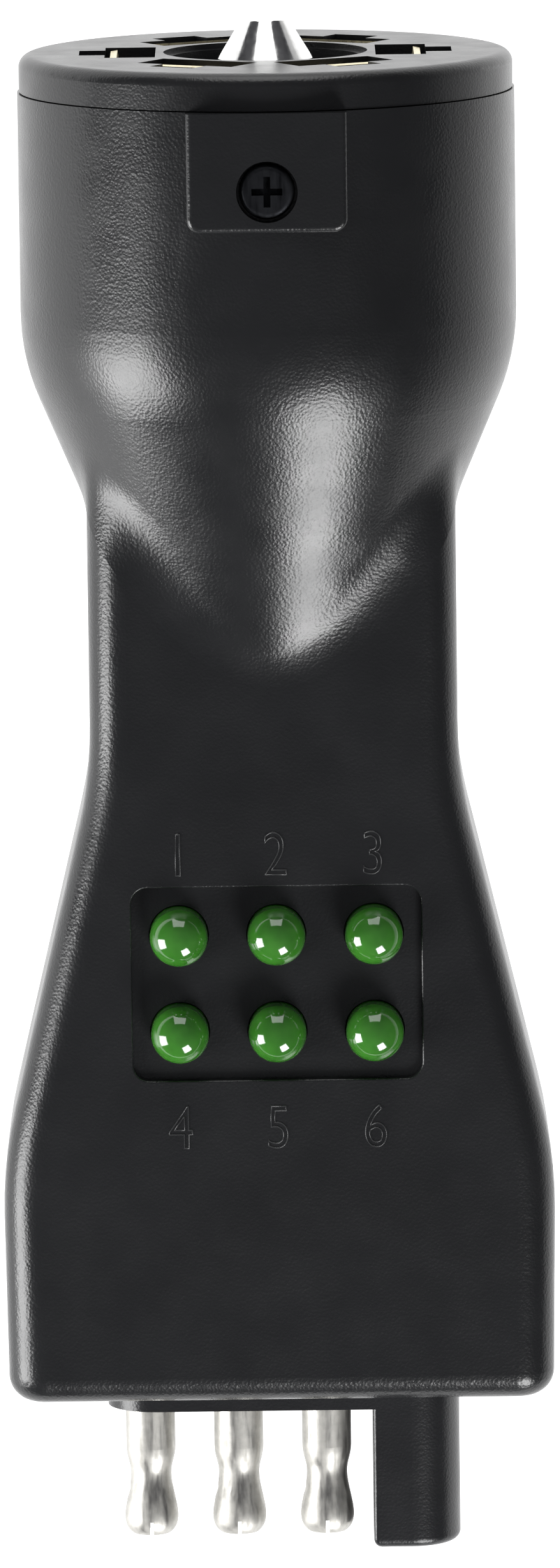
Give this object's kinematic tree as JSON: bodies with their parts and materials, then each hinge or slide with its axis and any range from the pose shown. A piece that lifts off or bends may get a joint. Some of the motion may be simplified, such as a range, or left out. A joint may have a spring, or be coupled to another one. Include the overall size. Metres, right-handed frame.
{
  "type": "trailer light circuit tester",
  "caption": "Hand-held trailer-light circuit tester with a round 7-way blade plug at one end, a 4-way flat connector at the other and green indicator lamps in a recess.",
  "frame": {"origin": "centre of the 7-way plug's face", "axes": "+Y along the length, out of the 7-way face; +Z out of the lamp face; +X to the right when the lamps face the viewer with the 7-way plug up"},
  "size_m": [0.0496, 0.139, 0.0451],
  "materials": {
    "housing_plastic": "satin, fine texture",
    "insert_plastic": "satin",
    "flat_plastic": "satin",
    "bright_pin": "polished nickel",
    "terminal_brass": "stamped, satin",
    "bullet_metal": "tin plated, bright",
    "hardware_steel": "zinc plated",
    "black_screw": "black oxide",
    "led_green": "tinted clear epoxy, gloss",
    "board_green": "solder mask",
    "tinned_wire": "tinned",
    "resistor_body": "lacquer",
    "diode_body": "moulded",
    "wire_yellow": "PVC insulation",
    "wire_brown": "PVC insulation",
    "wire_white": "PVC insulation",
    "wire_black": "PVC insulation",
    "wire_green": "PVC insulation",
    "wire_blue": "PVC insulation",
    "wire_red": "PVC insulation"
  },
  "bodies": {
    "root": {"blade_contact_1": "terminal_brass", "blade_contact_2": "terminal_brass", "blade_contact_3": "terminal_brass", "blade_contact_4": "terminal_brass", "blade_contact_5": "terminal_brass", "blade_contact_6": "terminal_brass", "board_screws": "black_screw", "bullet_1": "bullet_metal", "bullet_2": "bullet_metal", "bullet_3": "bullet_metal", "center_pin": "bright_pin", "circuit_board": "board_green", "diodes": "diode_body", "flat_wire_1": "wire_green", "flat_wire_2": "wire_yellow", "flat_wire_3": "wire_brown", "flat_wire_4": "wire_white", "four_flat_body": "flat_plastic", "front_housing": "housing_plastic", "housing_screws": "black_screw", "key_screw": "black_screw", "led_backup": "led_green", "led_brake": "led_green", "led_leads": "tinned_wire", "led_left_turn": "led_green", "led_power": "led_green", "led_right_turn": "led_green", "led_tail_marker": "led_green", "pin_nut": "hardware_steel", "pin_terminal": "terminal_brass", "pin_washer": "hardware_steel", "plug_insert": "insert_plastic", "plug_wire_1": "wire_yellow", "plug_wire_2": "wire_brown", "plug_wire_3": "wire_white", "plug_wire_4": "wire_black", "plug_wire_5": "wire_green", "plug_wire_6": "wire_blue", "plug_wire_7": "wire_red", "rear_housing": "housing_plastic", "resistors": "resistor_body", "socket_sleeve": "terminal_brass"}
  },
  "joints": []
}
